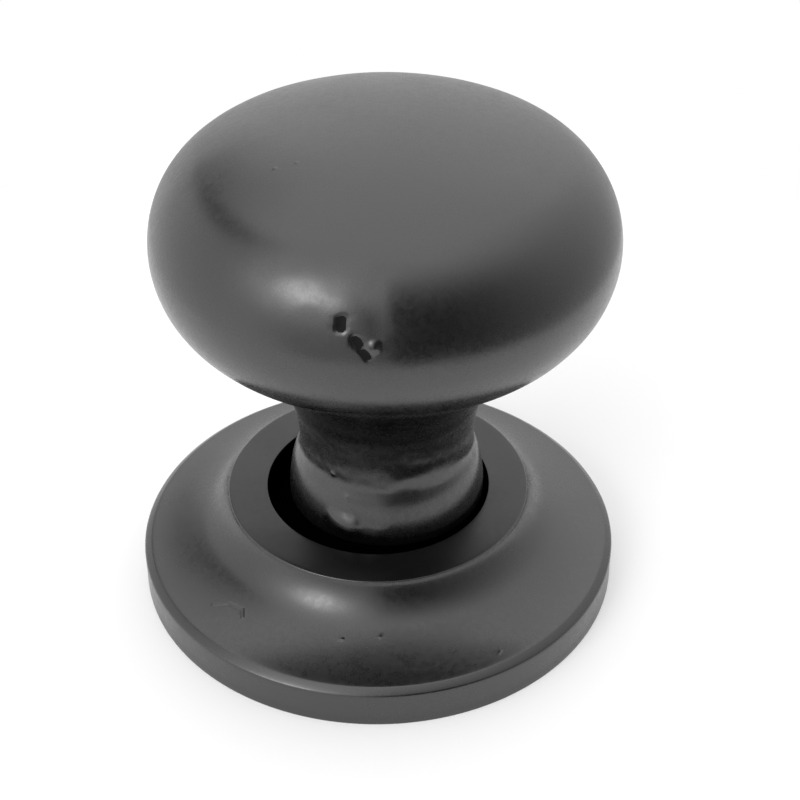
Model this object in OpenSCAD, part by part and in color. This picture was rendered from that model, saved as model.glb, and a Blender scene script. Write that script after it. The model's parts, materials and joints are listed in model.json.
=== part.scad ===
// Round cupboard knob with a separate back rose, fixed from behind by one machine screw.
// Millimetres. The origin is the centre of the rose's back face, and +Z points out of the door.

/* [Rose] */
// Outer diameter of the rose
rose_d = 38; // [37:0.5:42]
// Height of the rose's plain outer edge, below its rounded corner
rose_edge_h = 2.75; // [2.6:0.05:3]
// Height of the raised ring above the back face
ring_h = 7.6; // [7.4:0.1:8.4]
// Outer diameter of the raised ring
ring_d = 23.9; // [22:0.1:25]
// Diameter of the recess that the knob's foot stands in
recess_d = 17.6; // [17.2:0.1:18.2]
// Depth of the hollow behind the rose, which takes the screw's head and its washer
hollow_h = 3.5; // [3.3:0.1:3.7]
// Thickness of the web between the hollow and the recess
web_t = 1.4; // [1.2:0.1:1.8]
// Diameter of the screw's clearance hole through the web
web_hole_d = 6.2; // [6:0.1:7]

/* [Knob] */
// Diameter of the knob's head at its widest
head_d = 33.8; // [31:0.1:35]
// Height of the head's widest circle above the back face
head_z = 30.2; // [30:0.1:33]
// Rise of the crown above the widest circle
crown_h = 9.6; // [9:0.1:10.5]
// Drop of the belly's curve below the widest circle, measured on the axis
belly_h = 11; // [10:0.1:11.5]
// Radius of the rounded shoulder between crown and belly
shoulder_r = 7.5; // [6.5:0.1:8]
// Diameter of the neck's waist
waist_d = 13.8; // [12.8:0.1:13.9]
// Height of the waist above the back face
waist_z = 12.6; // [12:0.1:13.2]
// Diameter of the foot at its widest
foot_d = 15.5; // [15.3:0.1:16]
// Sideways offset of the knob in the rose, which the loose fit leaves
knob_offset = 0.7; // [0:0.05:0.75]

/* [Screw and washer] */
// Nominal diameter of the screw
screw_d = 4; // [4:1:4]
// Length of the screw under its head
screw_l = 25; // [20:1:25]
// Diameter of the screw's pan head
screw_head_d = 8; // [7:0.5:8]
// Height of the screw's head
screw_head_h = 2.4; // [2:0.1:2.4]
// Outer diameter of the washer
washer_d = 9; // [8.6:0.1:9.4]
// Thickness of the washer
washer_t = 0.8; // [0.7:0.1:0.8]

/* [Hidden] */
$fn = 96;
ARC_STEPS = 20;
OVER = 1;

rose_r = rose_d / 2;
ring_r = ring_d / 2;
web_z = hollow_h + web_t;
ring_step = 0.3;
tight_cove_r = 4.8;
wide_cove_r = 14;
cove_top_slope = 69;
cove_turn_slope = 28;
land_w = 0.6;
land_slope = 34;
rose_corner_r = 0.3;
seat_w = 2.6;
hollow_wall_h = 1.1;
hollow_roof_r = 12.4;

head_r = head_d / 2;
waist_r = waist_d / 2;
foot_r = foot_d / 2;
foot_bottom = web_z + 2.3;
foot_z = web_z + 2.7;
foot_swell_r = 12;
foot_fillet_r = 3;
foot_edge_r = 0.3;
spigot_r = 5.5;
neck_flare_r = 15;

bore_clearance = 0.05;
bore_r = screw_d / 2 + bore_clearance;
bore_extra = 1;
drill_angle = 59;
washer_z = hollow_h - washer_t;
washer_hole_r = screw_d / 2 + 0.15;
slot_w = 1.2;
slot_h = 1;
screw_tip = 0.4;
head_edge_r = 1.4;

// Points on an arc about centre c, from angle a0 to angle a1.
function arc(c, r, a0, a1, steps = ARC_STEPS) =
    [for (i = [0:steps]) let (a = a0 + (a1 - a0) * i / steps) c + r * [cos(a), sin(a)]];

// Where two circles meet, taking the meeting point on the left of the line from c0 to c1.
function meet(c0, r0, c1, r1) =
    let (
        d = norm(c1 - c0),
        u = (c1 - c0) / d,
        along = (d * d + r0 * r0 - r1 * r1) / (2 * d),
        across = sqrt(r0 * r0 - along * along)
    )
    c0 + along * u + across * [-u[1], u[0]];

// Direction from a to b, in degrees.
function heading(a, b) = atan2(b[1] - a[1], b[0] - a[0]);

// Radius of an arc centred on the axis that leaves height h above a circle's centre and touches
// that circle, whose centre is a from the axis and whose radius is r.
function cap_radius(a, h, r) = (a * a + h * h - r * r) / (2 * (h - r));

// The rose's face is one cove in two arcs that touch. A wide arc rises from the narrow land at the
// edge, and a tight one turns it up against the ring. A slope is the fall of the face going outwards.
module rose_section() {
    tight_c = [ring_r, ring_h - ring_step] + tight_cove_r * [sin(cove_top_slope), cos(cove_top_slope)];
    wide_c = tight_c + (wide_cove_r - tight_cove_r) * [sin(cove_turn_slope), cos(cove_turn_slope)];
    edge_slope = asin((wide_c[0] - rose_r + land_w) / wide_cove_r);
    corner_c = [rose_r - rose_corner_r, rose_edge_h];
    polygon(concat(
        [[web_hole_d / 2, hollow_h], [hollow_roof_r, hollow_h], [rose_r - seat_w, hollow_wall_h]],
        [[rose_r - seat_w, 0], [rose_r, 0]],
        arc(corner_c, rose_corner_r, 0, 90 - land_slope, 6),
        arc(wide_c, wide_cove_r, 270 - edge_slope, 270 - cove_turn_slope),
        arc(tight_c, tight_cove_r, 270 - cove_turn_slope, 270 - cove_top_slope),
        [[ring_r, ring_h], [recess_d / 2, ring_h], [recess_d / 2, web_z], [web_hole_d / 2, web_z]]
    ));
}

module rose() {
    color("dimgray") rotate_extrude() rose_section();
}

// Crown, shoulder and belly of the head, then the flared neck, a fillet and the foot's gentle swell.
// The knob stands on a spigot under the foot.
module knob_section() {
    head_c = [head_r - shoulder_r, head_z];
    crown_r = cap_radius(head_c[0], crown_h, shoulder_r);
    crown_c = [0, head_z + crown_h - crown_r];
    belly_r = cap_radius(head_c[0], belly_h, shoulder_r);
    belly_c = [0, head_z - belly_h + belly_r];

    neck_c = [waist_r + neck_flare_r, waist_z];
    joint = meet(neck_c, neck_flare_r, belly_c, belly_r);

    edge_c = [foot_r - foot_edge_r, foot_bottom + foot_edge_r];
    swell_c = [foot_r - foot_swell_r, foot_z];
    fillet_c = meet(swell_c, foot_swell_r + foot_fillet_r, neck_c, neck_flare_r - foot_fillet_r);

    polygon(concat(
        [[0, web_z], [spigot_r, web_z], [spigot_r, foot_bottom]],
        arc(edge_c, foot_edge_r, -90, 0, 8),
        arc(swell_c, foot_swell_r, 0, heading(swell_c, fillet_c)),
        arc(fillet_c, foot_fillet_r, heading(fillet_c, swell_c) + 360, heading(neck_c, fillet_c) + 360),
        arc(neck_c, neck_flare_r, heading(neck_c, fillet_c) + 360, heading(neck_c, joint)),
        arc(belly_c, belly_r, heading(belly_c, joint), heading(belly_c, head_c)),
        arc(head_c, shoulder_r, heading(belly_c, head_c), heading(crown_c, head_c), 2 * ARC_STEPS),
        arc(crown_c, crown_r, heading(crown_c, head_c), 90)
    ));
}

// Blind tapped hole that takes the whole screw, drawn at the thread's outer diameter.
module tapped_hole() {
    depth = screw_l - web_t - washer_t + bore_extra;
    translate([0, 0, web_z - OVER]) cylinder(h = depth + OVER, r = bore_r);
    translate([0, 0, web_z + depth]) cylinder(h = bore_r / tan(drill_angle), r1 = bore_r, r2 = 0);
}

module knob() {
    color("dimgray") translate([knob_offset, 0, 0]) difference() {
        rotate_extrude() knob_section();
        tapped_hole();
    }
}

module washer() {
    color("silver") translate([knob_offset, 0, washer_z]) difference() {
        cylinder(h = washer_t, d = washer_d);
        translate([0, 0, -OVER]) cylinder(h = washer_t + 2 * OVER, r = washer_hole_r);
    }
}

// Slotted pan head below, shank above with a small lead-in at its tip.
module fixing_screw() {
    r = screw_d / 2;
    head_r = screw_head_d / 2;
    color("silver") translate([knob_offset, 0, washer_z]) difference() {
        rotate_extrude() polygon(concat(
            [[0, -screw_head_h]],
            arc([head_r - head_edge_r, head_edge_r - screw_head_h], head_edge_r, -90, 0, 8),
            [[head_r, 0], [r, 0], [r, screw_l - screw_tip], [r - screw_tip, screw_l], [0, screw_l]]
        ));
        translate([-head_r - OVER, -slot_w / 2, -screw_head_h - OVER])
            cube([2 * (head_r + OVER), slot_w, slot_h + OVER]);
    }
}

rose();
knob();
washer();
fixing_screw();
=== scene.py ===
"""Looks for the cupboard knob: turned castings, a threaded screw, a stamped washer, materials, light and camera.

The castings and the washer are turned from the sections of their CAD nodes. Lengths are millimetres until MM
turns them into metres. Angles are degrees. On the object, angle 0 is +X and -90 is the front, which faces the
camera.
"""

import json
import math

import bmesh
import bpy
import numpy as np
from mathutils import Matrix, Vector, noise


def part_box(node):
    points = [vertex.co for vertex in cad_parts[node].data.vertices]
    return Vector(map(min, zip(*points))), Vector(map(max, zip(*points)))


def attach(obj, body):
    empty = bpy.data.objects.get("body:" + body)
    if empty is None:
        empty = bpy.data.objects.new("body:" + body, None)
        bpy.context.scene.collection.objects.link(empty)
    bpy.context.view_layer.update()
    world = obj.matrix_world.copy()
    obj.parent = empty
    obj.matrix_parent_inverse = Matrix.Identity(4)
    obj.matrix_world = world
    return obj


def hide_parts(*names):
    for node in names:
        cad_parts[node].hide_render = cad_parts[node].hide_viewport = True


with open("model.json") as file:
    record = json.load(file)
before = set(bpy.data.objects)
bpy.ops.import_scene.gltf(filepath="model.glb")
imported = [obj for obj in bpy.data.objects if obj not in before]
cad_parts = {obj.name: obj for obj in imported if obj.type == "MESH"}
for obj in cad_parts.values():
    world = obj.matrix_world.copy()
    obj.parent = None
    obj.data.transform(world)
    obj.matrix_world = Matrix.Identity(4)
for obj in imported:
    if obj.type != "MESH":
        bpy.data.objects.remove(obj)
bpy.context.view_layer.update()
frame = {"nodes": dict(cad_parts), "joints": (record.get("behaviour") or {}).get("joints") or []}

MM = 0.001
JOINTS = {joint["name"]: joint for joint in frame["joints"]}

# ---------------------------------------------------------------- sections read from the CAD nodes

ROSE_AXIS = (0.0, 0.0)
KNOB_AXIS = tuple(JOINTS["knob_turn"]["pos_m"][:2])  # the washer and the screw share it
AXES = {"rose": ROSE_AXIS, "knob": KNOB_AXIS, "washer": KNOB_AXIS}

WELD = 0.004  # vertices whose radius and height are this close are on one ring
SECTION_STEP = 0.02
AVERAGE_REACH = 3.5  # in sigmas
ROW_LENGTH = 0.25
ROW_TURN = 5
NO_END = 99  # above every height, for a window that stays open


def section(node):
    """The outline of a turned CAD node as [radius, height] points, and whether it closes on itself."""
    cx, cy = AXES[node]
    mesh = frame["nodes"][node].data
    rings, cells, ring_of = [], {}, []
    for v in mesh.vertices:
        r, z = math.hypot(v.co.x - cx, v.co.y - cy) / MM, v.co.z / MM
        i, j = round(r / WELD), round(z / WELD)
        near = [(i + a, j + b) for a in (-1, 0, 1) for b in (-1, 0, 1)]
        known = next((cells[k] for k in near if k in cells), None)
        if known is None:
            known = cells[(i, j)] = len(rings)
            rings.append((r, z))
        ring_of.append(known)
    links = {i: set() for i in range(len(rings))}
    for face in mesh.polygons:
        ids = {ring_of[v] for v in face.vertices}
        for i in ids:
            links[i] |= ids - {i}
    ends = [i for i in links if len(links[i]) == 1]
    closed = not ends
    at = max(links, key=lambda i: rings[i][0]) if closed else max(ends, key=lambda i: rings[i][1])
    path, last = [at], None
    while True:
        following = [i for i in links[at] if i != last and (i not in path or (closed and i == path[0]))]
        if not following or following[0] == path[0]:
            break
        last, at = at, following[0]
        path.append(at)
    return np.array([rings[i] for i in path]), closed


def evenly(points, step, closed):
    """Points along a polyline at an even spacing."""
    if closed:
        points = np.vstack([points, points[:1]])
    lengths = np.hypot(*np.diff(points, axis=0).T)
    along = np.concatenate([[0], np.cumsum(lengths)])
    count = max(int(round(along[-1] / step)), 8)
    at = np.linspace(0, along[-1], count + 1)
    if closed:
        at = at[:-1]
    return np.column_stack([np.interp(at, along, points[:, 0]), np.interp(at, along, points[:, 1])])


def averaged(points, sigma, closed):
    """A running Gaussian average, which rounds corners.

    An open outline is mirrored across the axis at its ends.
    """
    reach = int(math.ceil(AVERAGE_REACH * sigma / SECTION_STEP))
    if closed:
        padded = np.vstack([points[-reach:], points, points[:reach]])
    else:
        flip = np.array([-1, 1])
        padded = np.vstack([points[reach:0:-1] * flip, points, points[-2:-2 - reach:-1] * flip])
    x = np.arange(-reach, reach + 1) * SECTION_STEP
    weights = np.exp(-0.5 * (x / sigma) ** 2)
    weights /= weights.sum()
    return np.column_stack([np.convolve(padded[:, k], weights, mode="valid") for k in (0, 1)])


def window(x, low, high, soft):
    """1 between low and high, falling smoothly to 0 over soft on either side."""
    rise = np.clip((x - low) / soft + 1, 0, 1)
    fall = np.clip((high - x) / soft + 1, 0, 1)
    return (rise * rise * (3 - 2 * rise)) * (fall * fall * (3 - 2 * fall))


def rows_for(points, closed, longest=ROW_LENGTH, turn=ROW_TURN):
    """Thins dense points to rows no further apart than longest, and no more than turn degrees apart."""
    keep, last = [0], 0
    heading = np.unwrap(np.arctan2(*np.diff(points, axis=0).T[::-1]))
    travelled = 0.0
    for i in range(1, len(points) - 1):
        travelled += float(np.hypot(*(points[i] - points[i - 1])))
        if travelled >= longest or abs(heading[i] - heading[last]) >= math.radians(turn):
            keep.append(i)
            last, travelled = i, 0.0
    if not closed:
        keep.append(len(points) - 1)
    return points[keep]


# ---------------------------------------------------------------- mesh helpers

ON_AXIS = 1e-4
REFINE_CUTS = 4
REFINE_MARGIN = 0.25  # how far round a mark the mesh is split finely
RAGGED = 0.22  # how far a mark's edge strays, as a share of its width
RAGGED_SIZE = 0.5
RAGGED_SEED = 1.9


def new_piece(name, bm):
    """A smooth-shaded object from a bmesh, with its normals facing out."""
    bmesh.ops.recalc_face_normals(bm, faces=bm.faces[:])
    mesh = bpy.data.meshes.new(name)
    bm.to_mesh(mesh)
    bm.free()
    mesh.shade_smooth()
    piece = bpy.data.objects.new(name, mesh)
    bpy.context.scene.collection.objects.link(piece)
    return piece


def add_ring(bm, axis, height, radius, segments):
    """A ring of vertices round a vertical axis at (x, y) metres.

    The radius is a number or a function of the angle in turns.
    """
    ring = []
    for k in range(segments):
        a = 2 * math.pi * k / segments
        r = (radius(k / segments) if callable(radius) else radius) * MM
        ring.append(bm.verts.new((axis[0] + r * math.cos(a), axis[1] + r * math.sin(a), height * MM)))
    return ring


def add_tip(bm, axis, height):
    """A ring that has shrunk to one vertex on the axis."""
    return [bm.verts.new((axis[0], axis[1], height * MM))]


def skin(bm, rings, closed=False):
    """Faces from each ring to the next, and from the last to the first where the outline is closed."""
    for a, b in zip(rings, rings[1:] + rings[:1] if closed else rings[1:]):
        segments = max(len(a), len(b))
        for k in range(segments):
            j = (k + 1) % segments
            if len(a) == 1:
                bm.faces.new((a[0], b[k], b[j]))
            elif len(b) == 1:
                bm.faces.new((a[k], b[0], a[j]))
            else:
                bm.faces.new((a[k], b[k], b[j], a[j]))


def turned(rows, axis, segments, closed):
    """A bmesh of rows of [radius, height] turned about a vertical axis at (x, y) metres."""
    bm = bmesh.new()
    rings = [add_tip(bm, axis, z) if r < ON_AXIS else add_ring(bm, axis, z, r, segments) for r, z in rows]
    skin(bm, rings, closed)
    bmesh.ops.recalc_face_normals(bm, faces=bm.faces[:])
    return bm


def refine(bm, near):
    """Splits the faces finely where near(point) is true, so that they can hold a mark."""
    inside = {v for v in bm.verts if near(v.co / MM)}
    edges = [e for e in bm.edges if e.verts[0] in inside and e.verts[1] in inside]
    bmesh.ops.subdivide_edges(bm, edges=edges, cuts=REFINE_CUTS, use_grid_fill=True)


def spot(axis, angle, radius, height):
    """The point at an angle, radius and height round a piece's axis."""
    a = math.radians(angle)
    return Vector((axis[0] / MM + radius * math.cos(a), axis[1] / MM + radius * math.sin(a), height))


def dome(distance, radius):
    """1 at the middle of a round mark, falling smoothly to 0 at its radius."""
    t = min(distance / radius, 1.0)
    return (1 - t * t) ** 2


class Mark:
    """A mark along a line of points, given as angle, radius and height round an axis.

    It stands proud where its depth is more than 0, and is sunk where it is less.
    """

    def __init__(self, axis, width, depth, *points):
        self.line = [spot(axis, *point) for point in points]
        self.width, self.depth = width, depth
        self.middle = sum(self.line, Vector()) / len(self.line)
        self.reach = max((point - self.middle).length for point in self.line) + width

    def distance(self, p):
        """Ragged distance from a point to the line, which is only worked out near it."""
        if (p - self.middle).length > self.reach + REFINE_MARGIN:
            return math.inf
        best = (p - self.line[0]).length
        for a, b in zip(self.line, self.line[1:]):
            along = min(max((p - a).dot(b - a) / (b - a).length_squared, 0), 1)
            best = min(best, (p - a - (b - a) * along).length)
        return best * (1 + RAGGED * lumps(p, RAGGED_SIZE, RAGGED_SEED))

    def height(self, p):
        distance = self.distance(p)
        return self.depth * dome(distance, self.width) if distance < self.width else 0.0


def lumps(point, size, seed):
    """Smooth noise from about -1 to 1, whose lumps are about size across."""
    return noise.noise(point / size + Vector((seed, 2.3 * seed, -1.7 * seed)))


def unevenness(point, *waves):
    """The sum of smooth lumps, each given as height, size and seed, which never stands proud."""
    return sum(height * (lumps(point, size, seed) - 1) for height, size, seed in waves)


def displace(bm, depth):
    """Moves every vertex along its normal by depth(point) in mm, where inwards is negative."""
    bm.normal_update()
    moves = [(v, v.normal * depth(v.co / MM) * MM) for v in bm.verts]
    for v, move in moves:
        v.co += move


# ---------------------------------------------------------------- castings

ROSE_SEGMENTS = 288
KNOB_SEGMENTS = 256
ROSE_ROUNDING, RING_EDGE_ROUNDING = 0.07, 0.13
KNOB_ROUNDING, CREASE_ROUNDING = 0.09, 0.45
FINE_MARK_WIDTH = 0.8  # the mesh is split finely for narrower marks

# What stays true to the CAD: the rose's seat and the inside of its recess, and the knob's bore and spigot.
SEAT_TOP = 0.4
EDGE_LOW, EDGE_FADE = 0.8, 0.4
RECESS_CLEAR_R = 8.6
BORE_CLEAR_R = 5.9
BORE_CLEAR_TOP = 36

# How widely the flat ring's outer edge is rounded.
RING_EDGE_REACH, RING_EDGE_FADE = 0.5, 0.4

# Where the crease under the head is looked for, and how widely it is filled.
CREASE_LOW, CREASE_HIGH, CREASE_CLEAR_R = 15, 25, 5
FILLET_REACH, FILLET_FADE = 0.8, 1.2

# Angle, radius and height round the axis of the middle of the patch of marks on the head, and its radius.
MARKED_PATCH = (-99, 16, 33.6)
MARKED_PATCH_R = 10.0

# The rough band round the neck. Its coarse lumps are drawn out round the neck, and they lean.
NECK_LOW, NECK_HIGH, NECK_FADE = 12.2, 16.5, 1.4
NECK_CLEAR_R = 9
NECK_MEAN_R = 6.6
NECK_DRAWN_OUT = 0.45
NECK_LEAN = 0.16

# Marks in the castings: width and depth, then the points of the mark's line.
KNOB_PITS = [Mark(KNOB_AXIS, *mark) for mark in (
    (0.66, -0.15, (-99.2, 16.22, 33.35), (-99.4, 16.36, 33.0)),
    (0.58, -0.13, (-95.9, 16.65, 32.25), (-95.0, 16.68, 31.95)),
    (0.42, -0.08, (-94.4, 16.75, 31.6), (-93.1, 16.84, 31.1)),
)]
KNOB_MARKS = KNOB_PITS + [Mark(KNOB_AXIS, *mark) for mark in (
    # a bump beside the pits
    (0.64, 0.15, (-92.1, 16.71, 31.85)),
    # a low lump on the foot, which trails off to the right
    (1.35, 0.26, (-119.0, 7.55, 8.90), (-112.0, 7.55, 8.85)),
    (1.40, 0.12, (-112.0, 7.55, 8.85), (-96.0, 7.55, 8.70)),
    # a faint trough and ridge down the head's front
    (0.95, -0.014, (-90.6, 15.00, 35.2), (-90.4, 16.35, 33.0)),
    (0.80, 0.012, (-88.7, 14.75, 35.5), (-88.7, 16.54, 32.5)),
    # specks on the neck and the crown
    (0.30, 0.05, (-126.0, 6.85, 12.65)),
    (0.35, 0.05, (-115.0, 7.00, 11.1)),
    (0.22, 0.03, (-136.9, 7.80, 38.7)),
    (0.22, 0.03, (-142.5, 9.00, 38.4)),
    # a smear round the neck
    (1.10, -0.08, (-80, 6.9, 12.84), (-63, 6.9, 13.25), (-50, 6.9, 13.15), (-36, 6.9, 12.83), (-16, 6.9, 11.8)),
)]
ROSE_MARKS = [Mark(ROSE_AXIS, *mark) for mark in (
    # specks
    (0.18, 0.04, (-99.6, 14.9, 4.42)),
    (0.16, 0.04, (-88.8, 14.6, 4.56)),
    (0.18, 0.04, (-58.5, 17.6, 3.50)),
    # a hooked scratch with a raised edge
    (0.17, 0.05, (-140.2, 16.3, 3.87), (-136.7, 15.45, 4.18), (-131.7, 15.2, 4.29), (-130.0, 15.7, 4.09)),
)]


def near_any(marks):
    """A test for points that are near one of the narrow marks."""
    narrow = [mark for mark in marks if mark.width < FINE_MARK_WIDTH]
    return lambda p: any(mark.distance(p) < mark.width + REFINE_MARGIN for mark in narrow)


def crease_height(outline):
    """Height of the sharp inner corner where the neck meets the head's belly."""
    way = np.diff(outline, axis=0)
    turn = np.abs(np.diff(np.unwrap(np.arctan2(way[:, 1], way[:, 0]))))
    middle = outline[1:-1]
    able = (middle[:, 1] > CREASE_LOW) & (middle[:, 0] > CREASE_CLEAR_R) & (middle[:, 1] < CREASE_HIGH)
    return middle[np.argmax(np.where(able, turn, 0)), 1]


def rounded_rows(points, closed, sigma, soft_sigma, soft_share):
    """Rows along an outline whose corners are rounded, and are rounded more where soft_share is more than 0."""
    crisp, soft = averaged(points, sigma, closed), averaged(points, soft_sigma, closed)
    return rows_for(crisp + (soft - crisp) * soft_share[:, None], closed)


def rose_rows():
    """The rose's outline, with a rounder outer edge on its flat ring."""
    outline, closed = section("rose")
    points = evenly(outline, SECTION_STEP, closed)
    top = points[:, 1].max()
    edge = points[points[:, 1] > top - 0.001, 0].max()
    off_edge = np.hypot(points[:, 0] - edge, points[:, 1] - top)
    near_edge = window(off_edge, -1, RING_EDGE_REACH, RING_EDGE_FADE)
    return rounded_rows(points, closed, ROSE_ROUNDING, RING_EDGE_ROUNDING, near_edge), closed


def knob_rows():
    """The knob's outline, with a fillet in the crease under its head."""
    outline, closed = section("knob")
    points = evenly(outline, SECTION_STEP, closed)
    crease = crease_height(outline)
    near_crease = window(points[:, 1], crease - FILLET_REACH, crease + FILLET_REACH, FILLET_FADE)
    near_crease = near_crease * (points[:, 0] > CREASE_CLEAR_R)
    return rounded_rows(points, closed, KNOB_ROUNDING, CREASE_ROUNDING, near_crease), closed


def rose_depth(p):
    """How the rose's casting strays from its true section, never past the CAD's box."""
    if p.z < SEAT_TOP or math.hypot(p.x, p.y) < RECESS_CLEAR_R:
        return 0.0
    outer = unevenness(p, (0.020, 7.0, 3.1), (0.006, 2.6, 8.2), (0.0022, 0.9, 5.5))
    above_seat = float(window(p.z, EDGE_LOW, NO_END, EDGE_FADE))
    return outer * above_seat + sum(mark.height(p) for mark in ROSE_MARKS)


def knob_depth(p):
    """How the knob's casting strays from its true section: lumps, a rough neck and the marks at its front."""
    x, y = p.x - KNOB_AXIS[0] / MM, p.y
    radius = math.hypot(x, y)
    if radius < BORE_CLEAR_R and p.z < BORE_CLEAR_TOP:
        return 0.0
    depth = unevenness(p, (0.030, 8.0, 1.4), (0.010, 2.8, 6.1), (0.0022, 1.0, 4.4))
    patch = dome((p - spot(KNOB_AXIS, *MARKED_PATCH)).length, MARKED_PATCH_R)
    depth += patch * unevenness(p, (0.020, 1.3, 9.3), (0.045, 2.6, 3.6))
    neck = float(window(p.z, NECK_LOW, NECK_HIGH, NECK_FADE)) if radius < NECK_CLEAR_R else 0.0
    if neck:
        along = math.atan2(y, x) * NECK_MEAN_R
        tilted = Vector((along * NECK_DRAWN_OUT, 0, p.z + NECK_LEAN * along))
        depth += neck * (unevenness(tilted, (0.050, 1.5, 2.2)) + unevenness(p, (0.018, 0.55, 7.7)))
    return depth + sum(mark.height(p) for mark in KNOB_MARKS)


def build_casting(name, rows, closed, axis, segments, marks, depth):
    bm = turned(rows, axis, segments, closed)
    refine(bm, near_any(marks))
    displace(bm, depth)
    return new_piece(name, bm)


# ---------------------------------------------------------------- screw and washer

SCREW_SEGMENTS = 72
SHANK_R = 2.0
PITCH = 0.7
THREAD_DEPTH = 0.43
THREAD_START = 0.3
THREAD_FULL_FROM, THREAD_RUN_IN = 0.9, 0.6
ROWS_PER_PITCH = 12
FLANK_END, FLANK_W = 0.44, 0.38  # in turns from the middle of the crest
FLANK_ROUNDING = 0.35
HEAD_H = 2.4
HEAD_EDGE_R = 1.4
HEAD_EDGE_STEPS = 12
HEAD_BREAK = 0.08
SLOT_W = 1.2
SLOT_H = 1.0
SLOT_BREAK = 0.05
TIP_CHAMFER = 0.5
TIP_SLOPE = 0.9
SLOT_EDGE_ANGLE = 50  # the slot's edges turn by more than this
SHARP_ANGLE = 38

WASHER_SEGMENTS = 144
WASHER_ROUNDING = 0.06
WASHER_ROW_LENGTH = 0.2
WASHER_ROW_TURN = 8


def thread(phase):
    """Height of a rolled thread's profile, from 0 at its root to 1 at its crest, for a phase in turns."""
    off_crest = abs((phase % 1.0) - 0.5)
    t = min(max((FLANK_END - off_crest) / FLANK_W, 0.0), 1.0)
    return t * t * (3 - 2 * t) * FLANK_ROUNDING + t * (1 - FLANK_ROUNDING)


def shank_radius(angle, along, length):
    """Radius of the right-handed thread at an angle in turns and a height above the head's underside."""
    root = SHANK_R - THREAD_DEPTH
    full = THREAD_DEPTH * float(window(along, THREAD_FULL_FROM, NO_END, THREAD_RUN_IN))
    crest = SHANK_R - max(0.0, along - (length - TIP_CHAMFER)) * TIP_SLOPE
    return min(root + full * thread(along / PITCH - angle), crest)


def screw_body(bottom, top, head_r):
    """The screw as one height field round its axis, without its slot."""
    seat = bottom + HEAD_H
    length = top - seat
    flat_r = head_r - HEAD_EDGE_R
    rings = [(bottom, flat_r * 0.5), (bottom, flat_r)]
    for step in range(1, HEAD_EDGE_STEPS + 1):
        a = math.radians(90 * step / HEAD_EDGE_STEPS)
        rings.append((bottom + HEAD_EDGE_R * (1 - math.cos(a)), flat_r + HEAD_EDGE_R * math.sin(a)))
    rings += [(seat - HEAD_BREAK, head_r), (seat, head_r - HEAD_BREAK), (seat, SHANK_R + 0.3)]
    rings.append((seat + 0.1, SHANK_R - 0.02))
    rows = int(round((length - THREAD_START) / PITCH * ROWS_PER_PITCH))
    for i in range(rows + 1):
        along = THREAD_START + (length - THREAD_START) * i / rows
        rings.append((seat + along, lambda turn, at=along: shank_radius(turn, at, length)))

    bm = bmesh.new()
    drawn = [add_tip(bm, KNOB_AXIS, bottom)]
    drawn += [add_ring(bm, KNOB_AXIS, height, radius, SCREW_SEGMENTS) for height, radius in rings]
    drawn.append(add_tip(bm, KNOB_AXIS, top))
    skin(bm, drawn)
    return new_piece("threaded_screw", bm)


def cut_slot(screw, bottom, head_r):
    """Cuts the slot across the head and breaks its edges."""
    cutter = bmesh.new()
    bmesh.ops.create_cube(cutter, size=1)
    for v in cutter.verts:
        v.co = Vector((v.co.x * 2 * (head_r + 1), v.co.y * SLOT_W, v.co.z * 2 * SLOT_H)) * MM
        v.co += Vector((KNOB_AXIS[0], KNOB_AXIS[1], bottom * MM))
    blade = new_piece("slot_cutter", cutter)
    cut = screw.modifiers.new("slot", "BOOLEAN")
    cut.operation, cut.solver, cut.object = "DIFFERENCE", "EXACT", blade
    mesh = bpy.data.meshes.new_from_object(screw.evaluated_get(bpy.context.evaluated_depsgraph_get()))
    screw.modifiers.clear()
    screw.data = mesh
    bpy.data.objects.remove(blade)

    bm = bmesh.new()
    bm.from_mesh(mesh)
    slot_low, slot_high = bottom - 0.01, bottom + SLOT_H - 0.01
    edges = [e for e in bm.edges if len(e.link_faces) == 2
             and e.calc_face_angle() > math.radians(SLOT_EDGE_ANGLE)
             and all(slot_low < v.co.z / MM < slot_high for v in e.verts)]
    bmesh.ops.bevel(bm, geom=edges, offset=SLOT_BREAK * MM, segments=2, affect="EDGES", clamp_overlap=True)
    bm.to_mesh(mesh)
    bm.free()


def build_screw():
    low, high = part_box("fixing_screw")
    bottom, top = low[2] / MM, high[2] / MM
    head_r = (high[0] - low[0]) / 2 / MM
    screw = screw_body(bottom, top, head_r)
    cut_slot(screw, bottom, head_r)
    screw.data.shade_smooth()
    screw.data.set_sharp_from_angle(angle=math.radians(SHARP_ANGLE))
    return screw


def build_washer():
    """The stamped washer, with rounded edges and a slightly uneven face."""
    outline, closed = section("washer")
    points = averaged(evenly(outline, SECTION_STEP, closed), WASHER_ROUNDING, closed)
    rows = rows_for(points, closed, WASHER_ROW_LENGTH, WASHER_ROW_TURN)
    bm = turned(rows, KNOB_AXIS, WASHER_SEGMENTS, closed)
    displace(bm, lambda p: unevenness(p, (0.006, 1.6, 5.2)))
    return new_piece("stamped_washer", bm)


rose_piece = build_casting("rose_casting", *rose_rows(), ROSE_AXIS, ROSE_SEGMENTS, ROSE_MARKS, rose_depth)
knob_piece = build_casting("knob_casting", *knob_rows(), KNOB_AXIS, KNOB_SEGMENTS, KNOB_MARKS, knob_depth)
screw_piece = build_screw()
washer_piece = build_washer()

# ---------------------------------------------------------------- materials

# Where the faces with a material of their own lie: painted shade in the rose's recess, under the knob's foot, in
# its bore and in the middle of its pits, and a duller ring.
RECESS_LOW, RECESS_HIGH, RECESS_R = 3.7, 7.4, 8.9
RING_LOW, RING_R = 7.45, 11.85
FOOT_HIGH, FOOT_R = 7.9, 7.3
BORE_HIGH, BORE_R = 34, 2.5
PIT_SHARE = 0.58  # how much of a pit's width is dark
DULL_FROM, DULL_FULL = 2.6, 2.9  # heights from which the thread's roots are dull


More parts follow.
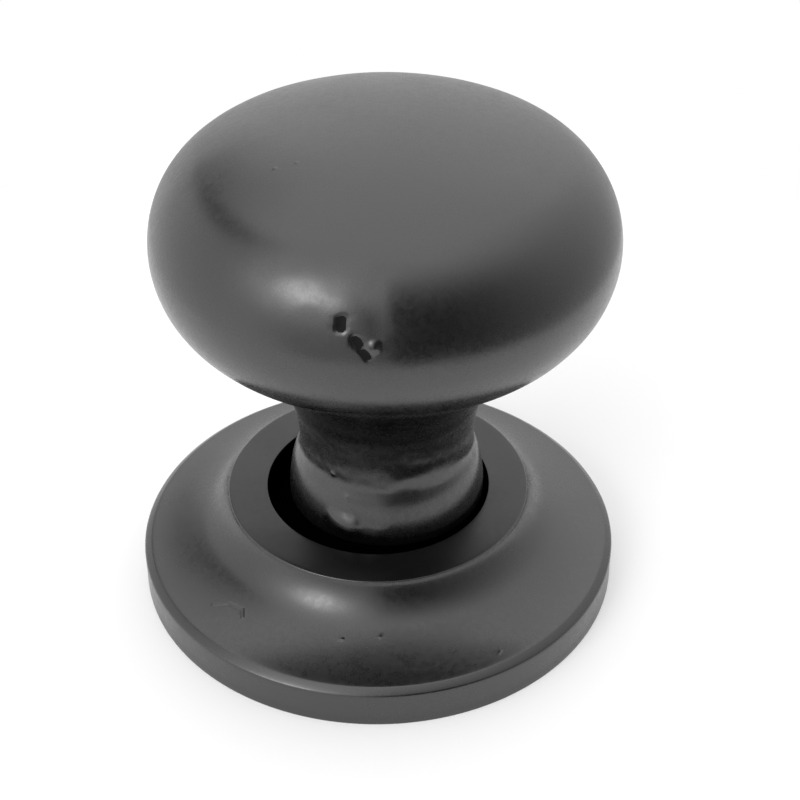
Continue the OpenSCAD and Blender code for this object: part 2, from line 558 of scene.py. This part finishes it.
class Nodes:
    """A short way to add and join shader nodes."""

    def __init__(self, owner):
        owner.use_nodes = True
        self.tree = owner.node_tree

    def add(self, kind, **settings):
        node = self.tree.nodes.new("ShaderNode" + kind)
        for name, value in settings.items():
            setattr(node, name, value)
        return node

    def join(self, source, target):
        self.tree.links.new(source, target)

    def math(self, operation, *values):
        """The output of a Math node. A value is a number or an output."""
        node = self.add("Math", operation=operation)
        for socket, value in zip(node.inputs, values):
            if isinstance(value, (int, float)):
                socket.default_value = value
            else:
                self.join(value, socket)
        return node.outputs[0]

    def ramp(self, value, low, high, to_low=0.0, to_high=1.0):
        """value carried smoothly from the range low..high to the range to_low..to_high."""
        node = self.add("MapRange", interpolation_type="SMOOTHSTEP")
        self.join(value, node.inputs["Value"])
        ends = {"From Min": low, "From Max": high, "To Min": to_low, "To Max": to_high}
        for name, number in ends.items():
            node.inputs[name].default_value = number
        return node.outputs[0]

    def blend(self, first, second, share):
        """The colour first, turned into second by share. A colour is a tuple or an output."""
        node = self.add("MixRGB")
        self.join(share, node.inputs["Fac"])
        for name, colour in (("Color1", first), ("Color2", second)):
            if isinstance(colour, tuple):
                node.inputs[name].default_value = (*colour, 1)
            else:
                self.join(colour, node.inputs[name])
        return node.outputs[0]

    def noise(self, coords, size, detail=2.0, roughness=0.5, seed=0.0):
        """Noise whose lumps are about size mm across."""
        shift = self.add("Mapping")
        shift.inputs["Location"].default_value = (seed, seed * 1.7, -seed)
        self.join(coords, shift.inputs["Vector"])
        node = self.add("TexNoise")
        node.inputs["Scale"].default_value = 1 / (size * MM)
        node.inputs["Detail"].default_value = detail
        node.inputs["Roughness"].default_value = roughness
        self.join(shift.outputs[0], node.inputs["Vector"])
        return node.outputs["Fac"]


class Finish(Nodes):
    """A piece's material: its shader, and its noise in object coordinates."""

    def __init__(self, name, constants):
        self.material = bpy.data.materials.new(name)
        super().__init__(self.material)
        self.shader = self.tree.nodes["Principled BSDF"]
        self.coords = self.add("TexCoord").outputs["Object"]
        for socket, value in constants.items():
            self.shader.inputs[socket].default_value = value

    def set(self, socket, value):
        self.join(value, self.shader.inputs[socket])

    def patches(self, size, detail, roughness, seed):
        """Noise in the piece's own coordinates."""
        return self.noise(self.coords, size, detail, roughness, seed)

    def grain(self, size, strength, height, seed):
        """Fine bumps, about size mm across and up to height mm high."""
        bump = self.add("Bump")
        bump.inputs["Strength"].default_value = strength
        bump.inputs["Distance"].default_value = height * MM
        self.join(self.patches(size, 3, 0.6, seed), bump.inputs["Height"])
        self.set("Normal", bump.outputs[0])


def black_iron(name, seed, low, high, ior=1.8):
    """Satin black finish on cast iron: nearly no colour of its own, and a fine grain.

    Its roughness runs from low to high.
    """
    f = Finish(name, {"IOR": ior})
    dark, light = (0.0012, 0.0012, 0.0013), (0.0030, 0.0030, 0.0032)
    f.set("Base Color", f.blend(dark, light, f.patches(3.0, 4, 0.6, seed)))
    broad = f.ramp(f.patches(5.0, 3, 0.55, seed + 3), 0.3, 0.7, low, high)
    fine = f.ramp(f.patches(0.45, 3, 0.6, seed + 5), 0.3, 0.75, -0.02, 0.05)
    f.set("Roughness", f.math("ADD", broad, fine))
    f.grain(0.28, 0.5, 0.006, seed + 9)
    return f.material


def painted_shade_iron(name, seed, tone, gloss):
    """Painted shade: dead black with almost no shine, put on a casting's recess, hidden faces and pits, with
    faint rusty patches.
    """
    f = Finish(name, {"Specular IOR Level": gloss, "Roughness": 0.8})
    dark, rusty = (tone, tone, tone), (3.0 * tone, 2.8 * tone, 2.6 * tone)
    f.set("Base Color", f.blend(dark, rusty, f.patches(1.2, 4, 0.6, seed)))
    f.grain(0.4, 0.6, 0.03, seed + 9)
    return f.material


def thread_depth(f):
    """1 at the root of the screw's thread and 0 at its crest, and 0 on its head."""
    split = f.add("SeparateXYZ")
    f.join(f.coords, split.inputs[0])
    x, y, z = split.outputs
    across = f.math("SUBTRACT", x, KNOB_AXIS[0])
    square = f.math("ADD", f.math("MULTIPLY", across, across), f.math("MULTIPLY", y, y))
    root_r = SHANK_R - THREAD_DEPTH
    depth = f.ramp(f.math("SQRT", square), root_r * MM, (SHANK_R - 0.08) * MM, 1, 0)
    return f.math("MULTIPLY", depth, f.ramp(z, DULL_FROM * MM, DULL_FULL * MM))


def zinc(name, seed, threaded):
    """Bright zinc plating on steel, in slightly bluer and yellower patches.

    A thread's roots are duller and darker.
    """
    f = Finish(name, {"Metallic": 1.0})
    bluish, yellowish = (0.50, 0.53, 0.57), (0.66, 0.65, 0.60)
    spotted, dull = (0.30, 0.30, 0.29), (0.11, 0.105, 0.095)
    colour = f.blend(bluish, yellowish, f.ramp(f.patches(1.8, 4, 0.6, seed), 0.35, 0.65))
    spots = f.ramp(f.patches(0.35, 3, 0.7, seed + 2), 0.62, 0.75)
    colour = f.blend(colour, spotted, f.math("MULTIPLY", spots, 0.5))
    rough = f.ramp(f.patches(0.8, 3, 0.6, seed + 4), 0.3, 0.7, 0.24, 0.42)
    if threaded:
        depth = thread_depth(f)
        colour = f.blend(colour, dull, f.math("MULTIPLY", depth, 0.8))
        rough = f.math("ADD", rough, f.math("MULTIPLY", depth, 0.25))
    f.set("Base Color", colour)
    f.set("Roughness", rough)
    f.grain(0.14, 0.4, 0.006, seed + 6)
    return f.material


def off_axis(p, axis):
    return math.hypot(p.x - axis[0] / MM, p.y - axis[1] / MM)


def give_finish(piece, main, *others):
    """Gives the piece its main material, then each other one where its test(point in mm) is true."""
    piece.data.materials.clear()
    piece.data.materials.append(main)
    for index, (material, chosen) in enumerate(others, 1):
        piece.data.materials.append(material)
        for face in piece.data.polygons:
            if chosen(face.center / MM):
                face.material_index = index


# The rose's recess, painted dead black as painted shade.
def in_recess(p):
    return RECESS_LOW < p.z < RECESS_HIGH and off_axis(p, ROSE_AXIS) < RECESS_R


def on_ring(p):
    return p.z > RING_LOW and off_axis(p, ROSE_AXIS) < RING_R


# The faces under the knob's foot and in its bore, painted dead black as painted shade.
def under_foot_or_in_bore(p):
    r = off_axis(p, KNOB_AXIS)
    return (p.z < FOOT_HIGH and r < FOOT_R) or (p.z < BORE_HIGH and r < BORE_R)


# The middle of each pit, painted dark as painted shade.
def in_pit(p):
    return any(pit.distance(p) < PIT_SHARE * pit.width for pit in KNOB_PITS)


# The rose's recess gets painted shade; its flat ring is duller.
give_finish(rose_piece, black_iron("black_iron_rose", 0.013, 0.25, 0.31),
            (painted_shade_iron("painted_shade_rose", 0.013, 0.0005, 0.0), in_recess),
            (black_iron("dull_ring", 0.017, 0.30, 0.36, ior=1.55), on_ring))
# The knob's underside, bore and pits get painted shade.
give_finish(knob_piece, black_iron("black_iron_knob", 0.031, 0.235, 0.285),
            (painted_shade_iron("painted_shade_knob", 0.031, 0.0005, 0.0), under_foot_or_in_bore),
            (painted_shade_iron("pit", 0.037, 0.0030, 0.2), in_pit))
give_finish(screw_piece, zinc("zinc_screw", 0.057, True))
give_finish(washer_piece, zinc("zinc_washer", 0.079, False))

for piece, body, node, slot in (
    (rose_piece, "rose", "rose", "black_iron_rose"),
    (knob_piece, "knob", "knob", "black_iron_knob"),
    (washer_piece, "washer", "washer", "zinc_washer"),
    (screw_piece, "screw", "fixing_screw", "zinc_screw"),
):
    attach(piece, body)
    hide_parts(node)

# ---------------------------------------------------------------- stage, light and camera

CAMERA_AZIMUTH = 0
CAMERA_ELEVATION = 36.45
CAMERA_DISTANCE = 120
CAMERA_TARGET = Vector((1.75, 0.72, 14.97))
CAMERA_LENS = 69.55
SENSOR_WIDTH = 36
CLIP_START, CLIP_END = 5, 10000

SOFTBOX = (-41, 34)  # azimuth and elevation
STRIP_SLOPE, STRIP_RISE = 0.5, 98.0  # the dark strip's elevation is azimuth * slope + rise

FLOOR_RADIUS = 76
FLOOR_HOLE_RADIUS = 18.85
FLOOR_SEGMENTS = 288


def towards(azimuth, elevation):
    """The direction of an azimuth and elevation. Azimuth 0 is the front and +90 is the right."""
    a, e = math.radians(azimuth), math.radians(elevation)
    return Vector((math.sin(a) * math.cos(e), -math.cos(a) * math.cos(e), math.sin(e)))


def add_floor():
    """A plain pale round table top, which is clear from below and cut away under the rose."""
    bm = bmesh.new()
    skin(bm, [add_ring(bm, ROSE_AXIS, 0, r, FLOOR_SEGMENTS) for r in (FLOOR_HOLE_RADIUS, FLOOR_RADIUS)])
    mesh = bpy.data.meshes.new("floor")
    bm.to_mesh(mesh)
    bm.free()
    floor = bpy.data.objects.new("floor", mesh)
    bpy.context.scene.collection.objects.link(floor)
    material = bpy.data.materials.new("floor")
    n = Nodes(material)
    shader = n.tree.nodes["Principled BSDF"]
    shader.inputs["Base Color"].default_value = (0.72, 0.72, 0.72, 1)
    shader.inputs["Emission Color"].default_value = (1, 1, 1, 1)
    shader.inputs["Emission Strength"].default_value = 0.25
    shader.inputs["Roughness"].default_value = 0.9
    shader.inputs["Specular IOR Level"].default_value = 0.1
    mix = n.add("MixShader")
    n.join(n.add("NewGeometry").outputs["Backfacing"], mix.inputs[0])
    n.join(shader.outputs[0], mix.inputs[1])
    n.join(n.add("BsdfTransparent").outputs[0], mix.inputs[2])
    n.join(mix.outputs[0], n.tree.nodes["Material Output"].inputs["Surface"])
    mesh.materials.append(material)


def add_world():
    """A white studio with a softbox at the front left and a dark corner at the front right."""
    world = bpy.data.worlds.new("studio")
    bpy.context.scene.world = world
    n = Nodes(world)
    way = n.add("TexCoord").outputs["Generated"]
    split = n.add("SeparateXYZ")
    n.join(way, split.inputs[0])
    x, y, z = split.outputs
    azimuth = n.math("MULTIPLY", n.math("ARCTAN2", x, n.math("MULTIPLY", y, -1.0)), 180 / math.pi)
    elevation = n.math("MULTIPLY", n.math("ARCSINE", z), 180 / math.pi)

    def both(*parts):
        out = parts[0]
        for part in parts[1:]:
            out = n.math("MULTIPLY", out, part)
        return out

    def blend(old, new, share):
        """old, turned into new by share."""
        return n.math("MULTIPLY_ADD", n.math("SUBTRACT", new, old), share, old)

    ceiling = n.ramp(elevation, -15, 48, 0.75, 1.5)
    # the left wall
    wall = both(n.ramp(azimuth, -165, -140), n.ramp(azimuth, -62, -35, 1, 0), n.ramp(elevation, 40, 62, 1, 0))
    light = blend(ceiling, n.ramp(azimuth, -100, -55, 1.0, 1.2), wall)
    # a darker strip leans across the left wall
    lean = n.math("SUBTRACT", elevation, n.math("MULTIPLY_ADD", azimuth, STRIP_SLOPE, STRIP_RISE))
    strip = both(n.ramp(lean, -12, -3), n.ramp(lean, 3, 12, 1, 0), n.ramp(azimuth, -160, -140),
                 n.ramp(azimuth, -105, -85, 1, 0))
    light = blend(light, 0.35, strip)
    # the dark corner, darkest beside the camera and lighter towards the right and the ceiling
    corner = both(n.ramp(azimuth, -34, -20, 0, 0.5), n.ramp(azimuth, 120, 150, 1, 0))
    inner = both(n.ramp(azimuth, -8, 3), n.ramp(azimuth, 15, 130, 1, 0))
    height = n.ramp(elevation, 24, 76, 1, 0)
    light = blend(light, 0.75, both(corner, height))
    light = blend(light, 0.08, both(inner, height))
    # the softbox and its halo
    dot = n.add("VectorMath", operation="DOT_PRODUCT")
    n.join(way, dot.inputs[0])
    dot.inputs[1].default_value = towards(*SOFTBOX)
    off_aim = n.math("MULTIPLY", n.math("ARCCOSINE", dot.outputs["Value"]), 180 / math.pi)
    light = n.math("ADD", light, n.ramp(off_aim, 8, 16, 4.2, 0.0))
    light = n.math("ADD", light, n.ramp(off_aim, 12, 38, 0.5, 0.0))

    # the camera sees plain white
    strength = blend(light, 1.0, n.add("LightPath").outputs["Is Camera Ray"])
    background = n.tree.nodes["Background"]
    background.inputs["Color"].default_value = (1, 1, 1, 1)
    n.join(strength, background.inputs["Strength"])


def add_camera():
    data = bpy.data.cameras.new("camera")
    data.lens = CAMERA_LENS
    data.sensor_width = SENSOR_WIDTH
    data.clip_start = CLIP_START * MM
    data.clip_end = CLIP_END * MM
    camera = bpy.data.objects.new("camera", data)
    back = towards(CAMERA_AZIMUTH, CAMERA_ELEVATION)
    camera.location = (CAMERA_TARGET + back * CAMERA_DISTANCE) * MM
    camera.rotation_mode = "QUATERNION"
    camera.rotation_quaternion = (-back).to_track_quat("-Z", "Y")
    bpy.context.scene.collection.objects.link(camera)
    bpy.context.scene.camera = camera


add_floor()
add_world()
add_camera()
bpy.context.scene.view_settings.view_transform = "Standard"
